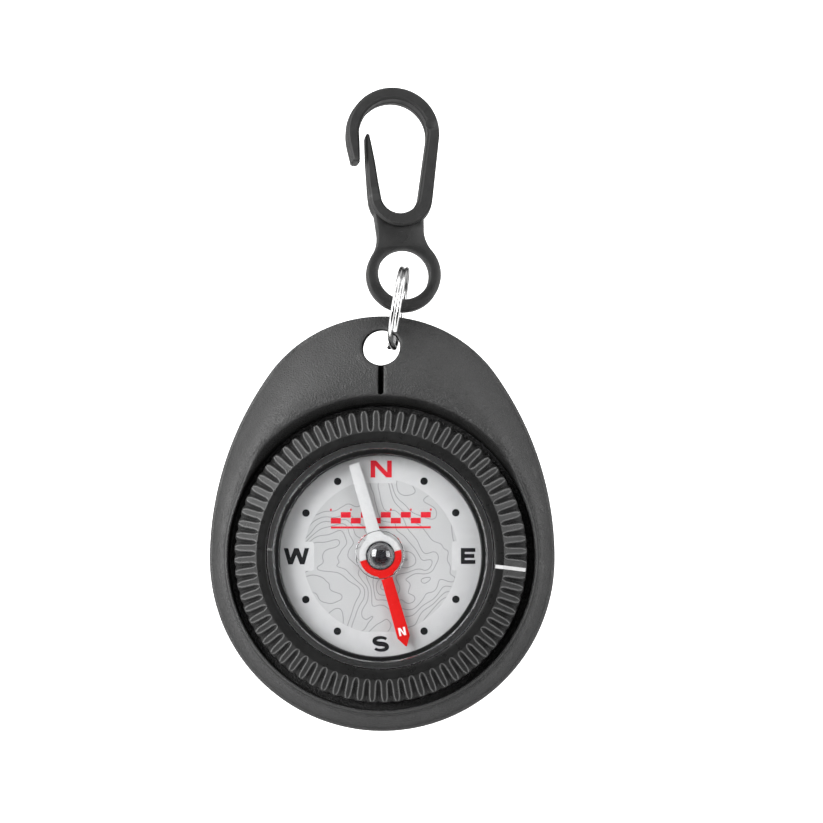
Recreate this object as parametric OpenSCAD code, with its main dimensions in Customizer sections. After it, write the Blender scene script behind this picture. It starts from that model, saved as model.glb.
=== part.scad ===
// Clip-on compass: an egg-shaped moulded body with a turning bezel, a sealed capsule with
// a magnetised needle, a split ring and a one-piece plastic snap hook.
// Millimetres. The origin is on the dial's axis, on the back face. +Z comes out of the
// dial and +Y points to the lanyard hole. Angles round the dial run clockwise from +Y.

/* [Body] */
// Radius of the round lower end, about the dial's axis
body_r = 24.5; // [24.3:0.1:25]
// Radius of the two long side arcs
side_arc_r = 45.1; // [43:0.1:47]
// Radius of the arc round the lanyard end
tip_arc_r = 19.85; // [19:0.05:20.5]
// Height of the outer edge, where the flank starts to rise
edge_h = 2.9; // [2.6:0.1:3.1]
// Height of the flank beside the bezel, at the sides and the lower end
flank_h = 5.3; // [5:0.1:5.6]
// Height of the shoulder above the bezel, at the lanyard end
shoulder_h = 8; // [7.6:0.1:8.2]
// Height of the raised bead round the bezel recess
bead_h = 6; // [5.8:0.1:6.1]
// Radius of the lanyard hole
hole_r = 2.65; // [2.5:0.05:2.7]
// Distance of the lanyard hole from the dial's axis
hole_y = 29.7; // [29.5:0.1:29.9]
// Width of the sighting groove
groove_w = 0.7; // [0.5:0.1:1]

/* [Bezel] */
// Outer radius of the bezel
bezel_r = 20.6; // [20.3:0.1:20.8]
// Height of the bezel's flat top above the back face
bezel_top = 9.5; // [9.4:0.1:9.7]
// Outer radius of the flat top
bezel_flat_r = 17.4; // [17.2:0.1:17.8]
// Number of five-degree steps round the flank; the index takes one of them
bezel_steps = 72; // [60:12:72]
// Direction of the index line
index_angle = 95.75; // [0:0.25:360]

/* [Capsule] */
// Outer radius of the clear lens
lens_r = 15.9; // [15.8:0.05:15.92]
// Height of the top of the lens
lens_top = 10.3; // [10.2:0.1:10.6]
// Inner radius of the capsule cup
cup_bore_r = 14.3; // [14.2:0.1:14.3]
// Height of the dial's printed face
dial_h = 6.4; // [6.3:0.1:6.5]

/* [Needle] */
// Length of each half of the needle, from the pivot
needle_l = 13.5; // [12.5:0.1:13.7]
// Direction of the white end
needle_angle = -16; // [-180:1:180]
// Outer radius of the ring round the needle's middle
needle_ring_r = 3; // [2.8:0.1:3.2]
// Radius of the polished dome in that ring
dome_r = 2.05; // [2:0.05:2.2]

/* [Split ring] */
// Outer diameter of the ring
ring_od = 12; // [11.8:0.1:12.1]
// Diameter of its wire
wire_d = 0.7; // [0.6:0.05:0.75]
// Lean of the ring, clockwise from +Y
ring_lean = 9.5; // [8:0.5:11]

/* [Snap hook] */
// Outer radius of the eye
eye_r = 5.3; // [5.1:0.1:5.4]
// Radius of the hole in the eye
eye_hole_r = 3.65; // [3.6:0.05:3.7]
// Distance from the eye to the middle of the hook's bend
bend_y = 20.4; // [20:0.1:21]
// Outer radius of the bend
bend_r = 6.7; // [6.5:0.1:6.9]
// Thickness of the hook
hook_t = 4.4; // [4.2:0.1:4.5]
// Thickness of the eye and the neck
plate_t = 2.4; // [2.2:0.1:2.6]
// Turn of the hook, anticlockwise from +Y
hook_yaw = 4.1; // [3.5:0.1:4.6]
// Drop of the far end below level
hook_pitch = 4; // [3:0.5:5]
// Roll of the hook, right side down
hook_roll = 8; // [6:0.5:9]

/* [Hidden] */
$fn = 96;

moulded_black = "#1d1d1f";
steel = "#c9ccd0";

// Body outline: three tangent arcs on each side
side_centre_x = side_arc_r - body_r;
arc_gap = side_arc_r - tip_arc_r;
tip_centre_y = sqrt(pow(arc_gap, 2) - pow(side_centre_x, 2));

// Body levels and radii
cover_t = 1.4;
cover_r = 22;
recess_floor = 3;
recess_r = 21.6;
shoulder_cut_h = 6.3;
shoulder_cut_r = 22.9;
collar_r = 15.95;
collar_bore_r = 14.95;
collar_top = 8.9;
seat_h = 5;
snap_h = 6.3;
tongue_underside = 1.8;
hole_flare_r = 3.8;
hole_flare_h = 1.2;
body_facets = 72;

// Capsule and needle levels
cup_r = 14.9;
cup_floor = dial_h - 0.4;
needle_z = 7.5;
needle_t = 0.35;
pin_r = 0.42;
pin_tip = 8.2;
jewel_bore_r = 0.5;
lens_underside = 9.1;
lens_flange_top = 9.55;
fill_angle = 273;
fill_plug_r = 0.25;
fill_plug_l = 0.7;

// Split ring: its middle stands over the web beside the lanyard hole
ring_centre = [2.4, 35.2, ring_od / 2];
coil_r = (ring_od - wire_d) / 2;
turn_gap = 0.02;

// Snap hook, in its own frame: eye at the origin, +Y to the bend, +Z out of its face
bend_inner_r = 4.8;
throat = [0.4, 11.4];
throat_r = 4.8;
throat_inner_r = 2.65;
neck_half_w = 3.4;
gate_root = [-3.35, 11.1];
gate_tip_y = 20.4;
gate_tip_w = 0.4;
gate_t = 3.6;
gate_outer_x = -4.3;
gate_inner_x = -2.35;
gate_neck_w = 0.8;
gate_foot_gap = 0.3;
knuckle_r = 0.6;
arm_end_y = 16.2;
eye_at = [3.1, 40.1];
// Share of each of the hook's own directions that points up
up_x = sin(hook_roll);
up_y = cos(hook_roll) * sin(hook_pitch);
up_z = cos(hook_roll) * cos(hook_pitch);
eye_z = bend_y * up_y + bend_r * norm([up_x, up_y]) + hook_t / 2 * up_z;

function limited(t) = min(1, max(0, t));
function eased(t) = let(s = limited(t)) s * s * (3 - 2 * s);

// Angle at which the tip arc meets a side arc, on an outline set in by inset
function join_angle(inset) = let(r = tip_arc_r - inset)
    atan2(r * side_centre_x / arc_gap, tip_centre_y + r * tip_centre_y / arc_gap);
// Distance from the dial's axis to the outline set in by inset, at angle a
function outline_r(a, inset = 0) = let(b = abs(a))
    b < join_angle(inset)
        ? tip_centre_y * cos(b) + sqrt(pow(tip_arc_r - inset, 2) - pow(tip_centre_y * sin(b), 2))
        : b < 90
            ? sqrt(pow(side_arc_r - inset, 2) - pow(side_centre_x * cos(b), 2))
                - side_centre_x * sin(b)
            : body_r - inset;
function turned(r, a) = [r * sin(a), r * cos(a)];

// The shoulder stands between about ten and two o'clock
function shoulder(a) = eased((68 - abs(a)) / 24);
function rim_r(a) = 22 + 0.9 * shoulder(a);
function rim_h(a) = flank_h + (shoulder_h - flank_h) * shoulder(a);

// Side wall as [inset, height], then steps along the crowned flank from edge to rim
wall_rings = [[0.4, 0], [0, 0.4], [0, edge_h - 0.6], [0.15, edge_h - 0.15]];
flank_steps = [0, 0.08, 0.2, 0.36, 0.56, 0.78, 1];
flank_inset = 0.4;

function flank_point(a, t) =
    let(r = outline_r(a, flank_inset) * (1 - t) + rim_r(a) * t,
        h = edge_h + (rim_h(a) - edge_h) * (1 - pow(1 - t, 2)))
    [each turned(r, a), h];

module body_blank() {
    angles = [for (i = [0 : body_facets - 1]) i * 360 / body_facets - 180];
    rings = [
        for (w = wall_rings) [for (a = angles) [each turned(outline_r(a, w[0]), a), w[1]]],
        for (t = flank_steps) [for (a = angles) flank_point(a, t)],
        [for (a = angles) [each turned(19, a), shoulder_h + 0.3]]
    ];
    last = len(rings) - 1;
    n = body_facets;
    polyhedron(
        points = [for (ring = rings) each ring],
        faces = [
            [for (i = [n - 1 : -1 : 0]) i],
            for (k = [0 : last - 1]) for (i = [0 : n - 1]) each [
                [k * n + i, k * n + (i + 1) % n, (k + 1) * n + (i + 1) % n],
                [k * n + i, (k + 1) * n + (i + 1) % n, (k + 1) * n + i]
            ],
            [for (i = [0 : n - 1]) last * n + i]
        ]
    );
}

module recess_bead() {
    rotate_extrude()
        polygon([[21, 4], [21, bead_h], [21.8, bead_h], [22.15, bead_h - 0.25],
            [22.3, bead_h - 0.7], [22.3, 4]]);
}

module bezel_recess() {
    rotate_extrude()
        polygon([[0, recess_floor], [recess_r, recess_floor], [recess_r, shoulder_cut_h],
            [shoulder_cut_r, shoulder_h + 0.25], [shoulder_cut_r + 0.4, 10], [0, 10]]);
}

// Seat for the capsule, and the collar with the snap bead that holds the bezel down
module collar() {
    rotate_extrude()
        polygon([[0, recess_floor - 0.8], [collar_r, recess_floor - 0.8],
            [collar_r, snap_h - 0.3], [collar_r + 0.4, snap_h - 0.15],
            [collar_r + 0.4, snap_h + 0.15], [collar_r, snap_h + 0.3],
            [collar_r, collar_top], [collar_bore_r, collar_top],
            [collar_bore_r, seat_h], [0, seat_h]]);
}

// The underside rises under the lanyard end, so that the split ring passes below the web
module tongue_relief() {
    rotate([90, 0, 90])
        linear_extrude(height = 60, center = true)
            polygon([[24.6, -1], [24.6, 0], [28, tongue_underside], [40, tongue_underside],
                [40, -1]]);
}

// Core pockets under the lanyard end, on both sides of the hole's boss
module tongue_pockets() {
    translate([0, 0, -1])
        linear_extrude(height = 4.6)
            difference() {
                polygon([for (a = [-48 : 4 : 48]) turned(outline_r(a, 2.4), a)]);
                translate([-30, -20]) square([60, 48.6]);
                translate([0, hole_y]) circle(r = 4.6);
            }
}

// Straight bore, flared on the underside so that the split ring swings freely
module lanyard_hole() {
    translate([0, hole_y, -1]) cylinder(h = 12, r = hole_r);
    translate([0, hole_y, -1]) cylinder(h = tongue_underside + 1.01, r = hole_flare_r);
    translate([0, hole_y, tongue_underside])
        cylinder(h = hole_flare_h, r1 = hole_flare_r, r2 = hole_r);
}

module sighting_groove() {
    start_y = 22.8 + groove_w / 2;
    translate([0, 0, 6.5]) {
        translate([0, start_y, 0]) cylinder(h = 4, d = groove_w, $fn = 48);
        translate([-groove_w / 2, start_y, 0]) cube([groove_w, hole_y - start_y, 4]);
    }
}

module base_shell() {
    color(moulded_black)
        difference() {
            union() {
                difference() {
                    union() {
                        body_blank();
                        recess_bead();
                    }
                    bezel_recess();
                }
                collar();
            }
            translate([0, 0, -1]) cylinder(h = cover_t + 1, r = cover_r + 0.05);
            translate([0, 0, cover_t - 0.1]) cylinder(h = 2.1, r = 13.5);
            tongue_relief();
            tongue_pockets();
            lanyard_hole();
            sighting_groove();
        }
}

module back_cover() {
    color(moulded_black)
        rotate_extrude()
            polygon([[0, 0], [cover_r - 0.3, 0], [cover_r, 0.3], [cover_r, cover_t],
                [13.4, cover_t], [13.4, cover_t + 1], [12.6, cover_t + 1],
                [12.6, cover_t], [0, cover_t]]);
}

module bezel_blank() {
    rotate_extrude()
        polygon([[collar_r + 0.05, 3.15], [17.2, 3.15], [17.2, 7.2], [19.2, 6.2],
            [19.2, 3.15], [bezel_r - 0.2, 3.15], [bezel_r, 3.35], [bezel_r, 7.7],
            [bezel_r - 0.2, 7.95], [bezel_flat_r, bezel_top],
            [collar_r + 0.2, bezel_top], [collar_r + 0.05, bezel_top - 0.15],
            [collar_r + 0.05, snap_h + 0.5], [collar_r + 0.55, snap_h + 0.5],
            [collar_r + 0.55, snap_h - 0.5], [collar_r + 0.05, snap_h - 0.5]]);
}

// A V groove that starts at a point beside the flat top and deepens to the rim
module bezel_notch() {
    translate([bezel_flat_r + 0.1, 0, bezel_top - 0.05])
        rotate([0, 35.4, 0])
            rotate([45, 0, 0])
                cube([5, 2, 2]);
}

module bezel_ring() {
    step = 360 / bezel_steps;
    color(moulded_black)
        difference() {
            bezel_blank();
            for (k = [1 : bezel_steps - 1])
                rotate([0, 0, 90 - index_angle - k * step]) bezel_notch();
        }
}

module capsule_cup() {
    color("#17171a")
        rotate_extrude()
            polygon([[pin_r + 0.38, seat_h], [cup_r, seat_h], [cup_r, collar_top],
                [cup_bore_r, collar_top], [cup_bore_r, cup_floor],
                [pin_r + 0.38, cup_floor]]);
}

module dial_card() {
    color("#e4e4e4")
        translate([0, 0, cup_floor])
            difference() {
                cylinder(h = dial_h - cup_floor, r = cup_bore_r - 0.05);
                translate([0, 0, -1]) cylinder(h = 3, r = 0.9, $fn = 48);
            }
}

// Pressed into the floor of the cup; its point carries the jewel
module pivot_pin() {
    color(steel)
        rotate_extrude()
            polygon([[0, seat_h], [pin_r + 0.38, seat_h], [pin_r + 0.38, dial_h + 0.2],
                [pin_r, dial_h + 0.2], [pin_r, pin_tip - 0.4], [0, pin_tip]]);
}

module needle_blade(l, root_w, tip_w, point) {
    translate([0, 0, needle_z])
        linear_extrude(height = needle_t)
            polygon([[-root_w / 2, needle_ring_r - 0.4], [-tip_w / 2, l - point],
                [-tip_w / 4, l], [tip_w / 4, l], [tip_w / 2, l - point],
                [root_w / 2, needle_ring_r - 0.4]]);
}

module needle() {
    color("#e9e9e9")
        rotate([0, 0, -needle_angle])
            union() {
                needle_blade(needle_l, 1.8, 1.5, 0.3);
                rotate([0, 0, 180]) needle_blade(needle_l - 0.1, 1.6, 1.8, 1.5);
                translate([0, 0, needle_z])
                    difference() {
                        cylinder(h = needle_t, r = needle_ring_r);
                        translate([0, 0, -1]) cylinder(h = 3, r = dome_r);
                    }
            }
}

module hub_cap() {
    dome_h = 0.9;
    sphere_r = (pow(dome_r, 2) + pow(dome_h, 2)) / (2 * dome_h);
    skirt_top = needle_z + needle_t;
    color("#2a2a2e")
        difference() {
            union() {
                translate([0, 0, needle_z - 0.1]) cylinder(h = needle_t + 0.1, r = dome_r);
                intersection() {
                    translate([0, 0, skirt_top + dome_h - sphere_r]) sphere(r = sphere_r);
                    translate([0, 0, skirt_top]) cylinder(h = 2, r = dome_r);
                }
            }
            translate([0, 0, needle_z - 1]) cylinder(h = 1.9, r = 1.1, $fn = 48);
        }
}

// Cupped bearing in the hub cap; the pin's point sits in its cone
module jewel_cup() {
    cone_top = pin_tip + 0.08;
    color("#8a3340")
        rotate_extrude()
            polygon([[jewel_bore_r, needle_z - 0.2], [1.1, needle_z - 0.2],
                [1.1, needle_z + 0.9], [0, needle_z + 0.9], [0, cone_top],
                [jewel_bore_r, cone_top - 0.45]]);
}

// Clear stepped window, with a shallow round step over the hub
module capsule_lens() {
    color("#dfe6ea", 0.35)
        difference() {
            rotate_extrude()
                polygon([[0, lens_underside], [cup_bore_r - 0.05, lens_underside],
                    [cup_bore_r - 0.05, collar_top], [lens_r, collar_top],
                    [lens_r, lens_flange_top - 0.1], [lens_r - 0.1, lens_flange_top],
                    [15.05, lens_flange_top], [14.95, lens_top - 0.25],
                    [14.7, lens_top], [3.3, lens_top], [3.3, lens_top - 0.12],
                    [0, lens_top - 0.12]]);
            fill_port();
        }
}

// Radial hole through the lens flange; the plug that closes it is a little thinner
module fill_port(r = fill_plug_r + 0.01, l = 2) {
    rotate([0, 0, 90 - fill_angle])
        translate([lens_r - fill_plug_l - 0.05, 0, (collar_top + lens_flange_top) / 2])
            rotate([0, 90, 0])
                cylinder(h = l, r = r, $fn = 32);
}

module fill_plug() {
    color(steel) fill_port(r = fill_plug_r, l = fill_plug_l);
}

// Offset of the wire from the ring's middle plane after a turn of a degrees
function coil_offset(a) = (wire_d + turn_gap) / 2 * (2 * eased((a - 330) / 60) - 1);

// Two turns of wire, with the crossing between their cut ends
module coil() {
    sides = 10;
    step = 10;
    stations = [for (a = [30 : step : 690]) a];
    last = len(stations) - 1;
    polyhedron(
        points = [
            for (a = stations) for (s = [0 : sides - 1])
                let(b = s * 360 / sides, r = coil_r + wire_d / 2 * cos(b))
                [r * cos(a), r * sin(a), coil_offset(a) + wire_d / 2 * sin(b)]
        ],
        faces = [
            [for (s = [0 : sides - 1]) s],
            for (k = [0 : last - 1]) for (s = [0 : sides - 1]) each [
                [k * sides + s, (k + 1) * sides + s, (k + 1) * sides + (s + 1) % sides],
                [k * sides + s, (k + 1) * sides + (s + 1) % sides, k * sides + (s + 1) % sides]
            ],
            [for (s = [sides - 1 : -1 : 0]) last * sides + s]
        ]
    );
}

module split_ring() {
    color(steel)
        translate(ring_centre)
            rotate([90, 0, 90 - ring_lean])
                rotate([0, 0, 160])
                    coil();
}

// Puts a shape from the hook's own frame where the hook lies at rest
module at_hook() {
    translate([eye_at[0], eye_at[1], eye_z])
        rotate([-hook_pitch, hook_roll, hook_yaw])
            children();
}

module slab(t) {
    linear_extrude(height = t, center = true) children();
}

// Two circles joined by their outer tangents
module pear(low, low_r, high_y, high_r) {
    span = high_y - low[1];
    b = asin((high_r - low_r) / span);
    n = [cos(b), -sin(b)];
    translate(low) circle(r = low_r);
    translate([0, high_y]) circle(r = high_r);
    polygon([low + low_r * n, [0, high_y] + high_r * n,
        [-high_r * n[0], high_y + high_r * n[1]],
        [low[0] - low_r * n[0], low[1] + low_r * n[1]]]);
}

module hook_outline() {
    difference() {
        pear(throat, throat_r, bend_y, bend_r);
        pear([0.25, throat[1]], throat_inner_r, bend_y, bend_inner_r);
        translate([-10, gate_root[1]]) square([10, bend_y - gate_root[1]]);
        translate(gate_root) circle(r = knuckle_r + 0.05, $fn = 48);
    }
    polygon([[-bend_r, bend_y + 0.2], [-bend_inner_r, bend_y + 0.2],
        [-bend_inner_r - 0.15, arm_end_y + 0.3], [-bend_inner_r - 0.4, arm_end_y],
        [-bend_r + 0.65, arm_end_y], [-bend_r + 0.4, arm_end_y + 0.4]]);
}

module clip_body() {
    color(moulded_black)
        at_hook()
            difference() {
                union() {
                    slab(hook_t) hook_outline();
                    slab(plate_t) {
                        circle(r = eye_r);
                        translate([-neck_half_w, 3.6]) square([2 * neck_half_w, 4.2]);
                    }
                }
                translate([0, 0, -5]) cylinder(h = 10, r = eye_hole_r);
            }
}

module clip_gate() {
    foot_y = gate_root[1] + gate_foot_gap;
    neck_y = gate_root[1] - 0.25;
    neck_l = gate_root[0] - gate_neck_w / 2;
    neck_r = gate_root[0] + gate_neck_w / 2;
    tip_l = gate_root[0] - 0.55;
    tip_r = tip_l + gate_tip_w;
    color(moulded_black)
        at_hook()
            union() {
                translate([gate_root[0], gate_root[1], -gate_t / 2])
                    cylinder(h = gate_t, r = knuckle_r, $fn = 48);
                slab(gate_t)
                    polygon([[neck_l, neck_y], [neck_l, foot_y], [gate_outer_x, foot_y],
                        [gate_outer_x + 0.08, arm_end_y + 0.3],
                        [tip_l - 0.12, gate_tip_y - 0.3], [tip_l, gate_tip_y],
                        [tip_r, gate_tip_y], [tip_r + 0.15, gate_tip_y - 0.3],
                        [gate_inner_x, foot_y], [neck_r, foot_y], [neck_r, neck_y]]);
            }
}

base_shell();
back_cover();
bezel_ring();
capsule_cup();
dial_card();
pivot_pin();
needle();
hub_cap();
jewel_cup();
capsule_lens();
fill_plug();
split_ring();
clip_body();
clip_gate();
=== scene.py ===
"""Looks for the clip-on compass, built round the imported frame.

Shapes are worked out in millimetres, in the frame's own axes, and turned into metres when
they are placed. Angles round the dial are in degrees, clockwise from +Y.
"""
import math

import bmesh
import bpy
from mathutils import Matrix, Vector


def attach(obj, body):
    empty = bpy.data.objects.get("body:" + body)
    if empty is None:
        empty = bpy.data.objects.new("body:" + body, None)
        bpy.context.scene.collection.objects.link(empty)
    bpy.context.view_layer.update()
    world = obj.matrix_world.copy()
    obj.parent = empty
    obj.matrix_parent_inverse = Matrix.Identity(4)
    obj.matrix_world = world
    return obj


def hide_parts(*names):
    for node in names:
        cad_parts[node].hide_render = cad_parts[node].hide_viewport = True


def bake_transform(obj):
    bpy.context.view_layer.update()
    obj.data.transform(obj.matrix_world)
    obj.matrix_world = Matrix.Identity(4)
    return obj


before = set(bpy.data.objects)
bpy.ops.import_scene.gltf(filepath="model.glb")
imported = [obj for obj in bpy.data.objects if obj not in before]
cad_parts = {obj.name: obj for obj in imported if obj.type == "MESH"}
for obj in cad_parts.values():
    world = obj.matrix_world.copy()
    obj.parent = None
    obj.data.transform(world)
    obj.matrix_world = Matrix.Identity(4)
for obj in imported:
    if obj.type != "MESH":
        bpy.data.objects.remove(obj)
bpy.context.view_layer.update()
MM = 0.001


# ---------------------------------------------------------------- camera, floor and light

VIEW_CENTRE = Vector((4.11, 21.04, 0.0)) * MM
VIEW_WIDTH = 117.57 * MM
CAMERA_PLACE = Vector((23.3, -32.3, 600.0)) * MM
SENSOR = 36.0


def aim(obj, target, up=Vector((0, 1, 0))):
    """Turns obj's -Z towards target, with its +Y as near to up as it can be."""
    back = (obj.location - target).normalized()
    side = up.cross(back).normalized()
    top = back.cross(side)
    obj.rotation_mode = "QUATERNION"
    obj.rotation_quaternion = Matrix((side, top, back)).transposed().to_quaternion()


def make_camera():
    data = bpy.data.cameras.new("camera")
    data.sensor_width = SENSOR
    data.lens = SENSOR * (CAMERA_PLACE - VIEW_CENTRE).length / VIEW_WIDTH
    data.clip_start = 0.01
    data.clip_end = 10
    obj = bpy.data.objects.new("camera", data)
    bpy.context.scene.collection.objects.link(obj)
    obj.location = CAMERA_PLACE
    aim(obj, VIEW_CENTRE)
    bpy.context.scene.camera = obj


def make_floor():
    """Bright paper to the eye, which throws only a little light back up at the object."""
    reach, level = 3.0, -0.045
    mesh = bpy.data.meshes.new("floor")
    corners = [(x * reach, y * reach, level) for x, y in ((-1, -1), (1, -1), (1, 1), (-1, 1))]
    mesh.from_pydata(corners, [], [(0, 1, 2, 3)])
    obj = bpy.data.objects.new("floor", mesh)
    bpy.context.scene.collection.objects.link(obj)
    material = bpy.data.materials.new("floor_paper")
    material.use_nodes = True
    nodes, links = material.node_tree.nodes, material.node_tree.links
    lit = nodes["Principled BSDF"]
    lit.inputs["Base Color"].default_value = (0.86, 0.86, 0.86, 1)
    lit.inputs["Roughness"].default_value = 0.9
    lit.inputs["Specular IOR Level"].default_value = 0.1
    lit.inputs["Emission Color"].default_value = (1, 1, 1, 1)
    lit.inputs["Emission Strength"].default_value = 0.95
    dim = nodes.new("ShaderNodeBsdfDiffuse")
    dim.inputs["Color"].default_value = (0.42, 0.42, 0.42, 1)
    seen = nodes.new("ShaderNodeMixShader")
    links.new(nodes.new("ShaderNodeLightPath").outputs["Is Camera Ray"], seen.inputs["Fac"])
    links.new(dim.outputs["BSDF"], seen.inputs[1])
    links.new(lit.outputs["BSDF"], seen.inputs[2])
    links.new(seen.outputs["Shader"], nodes["Material Output"].inputs["Surface"])
    mesh.materials.append(material)


def softbox(name, place, width, height, power):
    data = bpy.data.lights.new(name, "AREA")
    data.shape = "RECTANGLE"
    data.size = width
    data.size_y = height
    data.energy = power
    obj = bpy.data.objects.new(name, data)
    bpy.context.scene.collection.objects.link(obj)
    obj.location = place
    aim(obj, Vector((0, 0.015, 0)), up=Vector((0, 0.2, 1)))


def make_light():
    """Three lamps in a sky that is bright near the horizon, most of all on the left, and dark above."""
    world = bpy.data.worlds.new("studio")
    world.use_nodes = True
    background = world.node_tree.nodes["Background"]
    background.inputs["Color"].default_value = (1, 1, 1, 1)
    nodes, links = world.node_tree.nodes, world.node_tree.links
    split = nodes.new("ShaderNodeSeparateXYZ")
    fade = nodes.new("ShaderNodeMapRange")
    fade.interpolation_type = "SMOOTHSTEP"
    for label, value in (("From Min", 0.2), ("From Max", 0.75), ("To Min", 1.75), ("To Max", 0.02)):
        fade.inputs[label].default_value = value
    links.new(nodes.new("ShaderNodeTexCoord").outputs["Generated"], split.inputs["Vector"])
    links.new(split.outputs["Z"], fade.inputs["Value"])
    slant = nodes.new("ShaderNodeMath")
    slant.operation = "MULTIPLY_ADD"
    slant.inputs[1].default_value = 0.75
    slant.inputs[2].default_value = -0.35
    links.new(split.outputs["X"], slant.inputs[0])
    sides = nodes.new("ShaderNodeMath")
    sides.operation = "MULTIPLY_ADD"
    sides.inputs[2].default_value = 1.0
    links.new(split.outputs["X"], sides.inputs[0])
    links.new(slant.outputs["Value"], sides.inputs[1])
    whole = nodes.new("ShaderNodeMath")
    whole.operation = "MULTIPLY"
    links.new(fade.outputs["Result"], whole.inputs[0])
    links.new(sides.outputs["Value"], whole.inputs[1])
    links.new(whole.outputs["Value"], background.inputs["Strength"])
    bpy.context.scene.world = world
    bpy.context.scene.view_settings.view_transform = "Standard"
    softbox("softbox_left", (-0.36, 0.17, 0.42), 0.42, 0.26, 2.5)
    softbox("softbox_right", (0.40, 0.10, 0.40), 0.34, 0.24, 0.95)
    softbox("softbox_back", (0.0, 0.48, 0.52), 0.6, 0.25, 0.2)


make_camera()
make_floor()
make_light()


# ---------------------------------------------------------------- materials

class Shades:
    """A material's nodes, with short ways to add and join them."""

    def __init__(self, name):
        self.material = bpy.data.materials.new(name)
        self.material.use_nodes = True
        self.nodes = self.material.node_tree.nodes
        self.links = self.material.node_tree.links
        self.shader = self.nodes["Principled BSDF"]
        self.coords = self.nodes.new("ShaderNodeTexCoord").outputs["Object"]

    def set(self, **values):
        for label, value in values.items():
            self.shader.inputs[label.replace("_", " ")].default_value = value
        return self

    def join(self, source, target):
        self.links.new(source, target)

    def noise(self, scale, detail=3.0, rough=0.5, coords=None, warp=0.0):
        node = self.nodes.new("ShaderNodeTexNoise")
        node.inputs["Scale"].default_value = scale
        node.inputs["Detail"].default_value = detail
        node.inputs["Roughness"].default_value = rough
        node.inputs["Distortion"].default_value = warp
        self.join(coords or self.coords, node.inputs["Vector"])
        return node.outputs["Fac"]

    def stretched(self, x, y, z):
        node = self.nodes.new("ShaderNodeMapping")
        node.inputs["Scale"].default_value = (x, y, z)
        self.join(self.coords, node.inputs["Vector"])
        return node.outputs["Vector"]

    def radius(self):
        """Distance from the dial's axis, in metres."""
        node = self.nodes.new("ShaderNodeVectorMath")
        node.operation = "LENGTH"
        self.join(self.stretched(1, 1, 0), node.inputs[0])
        return node.outputs["Value"]

    def spread(self, value, low, high, to_low, to_high):
        node = self.nodes.new("ShaderNodeMapRange")
        node.inputs["From Min"].default_value = low
        node.inputs["From Max"].default_value = high
        node.inputs["To Min"].default_value = to_low
        node.inputs["To Max"].default_value = to_high
        self.join(value, node.inputs["Value"])
        return node.outputs["Result"]

    def calc(self, kind, a, b=None):
        node = self.nodes.new("ShaderNodeMath")
        node.operation = kind
        for socket, value in zip(node.inputs, (a, b)):
            if isinstance(value, (int, float)):
                socket.default_value = value
            elif value is not None:
                self.join(value, socket)
        return node.outputs["Value"]

    def mix(self, share, a, b):
        node = self.nodes.new("ShaderNodeMix")
        node.data_type = "RGBA"
        self.join(share, node.inputs["Factor"])
        colours = [s for s in node.inputs if s.type == "RGBA"]
        for socket, value in zip(colours, (a, b)):
            if isinstance(value, tuple):
                socket.default_value = (*value, 1)
            else:
                self.join(value, socket)
        return [s for s in node.outputs if s.type == "RGBA"][0]

    def bump(self, height, strength, distance, below=None):
        node = self.nodes.new("ShaderNodeBump")
        node.inputs["Strength"].default_value = strength
        node.inputs["Distance"].default_value = distance
        self.join(height, node.inputs["Height"])
        if below is not None:
            self.join(below, node.inputs["Normal"])
        return node.outputs["Normal"]

    def normal(self, source):
        self.join(source, self.shader.inputs["Normal"])

    def edges(self, low, high):
        """1 on convex edges, 0 on flat and hollow places."""
        geometry = self.nodes.new("ShaderNodeNewGeometry")
        return self.spread(geometry.outputs["Pointiness"], low, high, 0.0, 1.0)

    def marked(self, name):
        """The share stored in the mesh under name."""
        node = self.nodes.new("ShaderNodeAttribute")
        node.attribute_name = name
        return node.outputs["Fac"]


def grey(v):
    return (v, v, v)


def moulded(name, tone, rough, grain, grain_depth, edge_wear_and_highlight, sheen=0.5, strength=0.5, edge=None):
    """Black moulded plastic: spark-eroded grain, faint flow mottling, and convex edges painted lighter, which
    stands for edge wear and a painted highlight.
    """
    m = Shades(name)
    m.set(Specular_IOR_Level=sheen)
    mottle = m.noise(260, 4, 0.6)
    # Painted highlight and edge wear: the stored lip share when one is named, else the pointiness of convex
    # edges, lightens the colour by the edge gain.
    rubbed_and_highlit = m.marked(edge) if edge else m.edges(0.52, 0.57)
    base = m.mix(m.spread(mottle, 0.35, 0.65, 0, 1), grey(tone * 0.86), grey(tone * 1.12))
    m.join(m.mix(rubbed_and_highlit, base, grey(tone * edge_wear_and_highlight)), m.shader.inputs["Base Color"])
    fine = m.noise(grain, 2, 0.6)
    flow = m.spread(m.noise(900, 3, 0.5), 0.3, 0.7, rough - 0.05, rough + 0.06)
    m.join(m.calc("SUBTRACT", flow, m.calc("MULTIPLY", rubbed_and_highlit, 0.07)), m.shader.inputs["Roughness"])
    wavy = m.bump(m.noise(420, 2, 0.5), 0.10, 0.0001)
    m.normal(m.bump(fine, strength, grain_depth, wavy))
    return m.material


def printed(name, tone_low, tone_high, rough=0.5):
    """Ink or card with a slight tooth."""
    m = Shades(name)
    m.set(Specular_IOR_Level=0.15)
    share = m.spread(m.noise(2400, 3, 0.6), 0.3, 0.7, 0, 1)
    m.join(m.mix(share, tone_low, tone_high), m.shader.inputs["Base Color"])
    tooth = m.spread(m.noise(5200, 2, 0.5), 0.3, 0.7, rough - 0.06, rough + 0.06)
    m.join(tooth, m.shader.inputs["Roughness"])
    m.normal(m.bump(m.noise(7000, 2, 0.5), 0.15, 0.00001))
    return m.material


def shifted(m, dx, dy):
    node = m.nodes.new("ShaderNodeVectorMath")
    node.operation = "ADD"
    node.inputs[1].default_value = (dx, dy, 0)
    m.join(m.coords, node.inputs[0])
    return node.outputs["Vector"]


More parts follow.
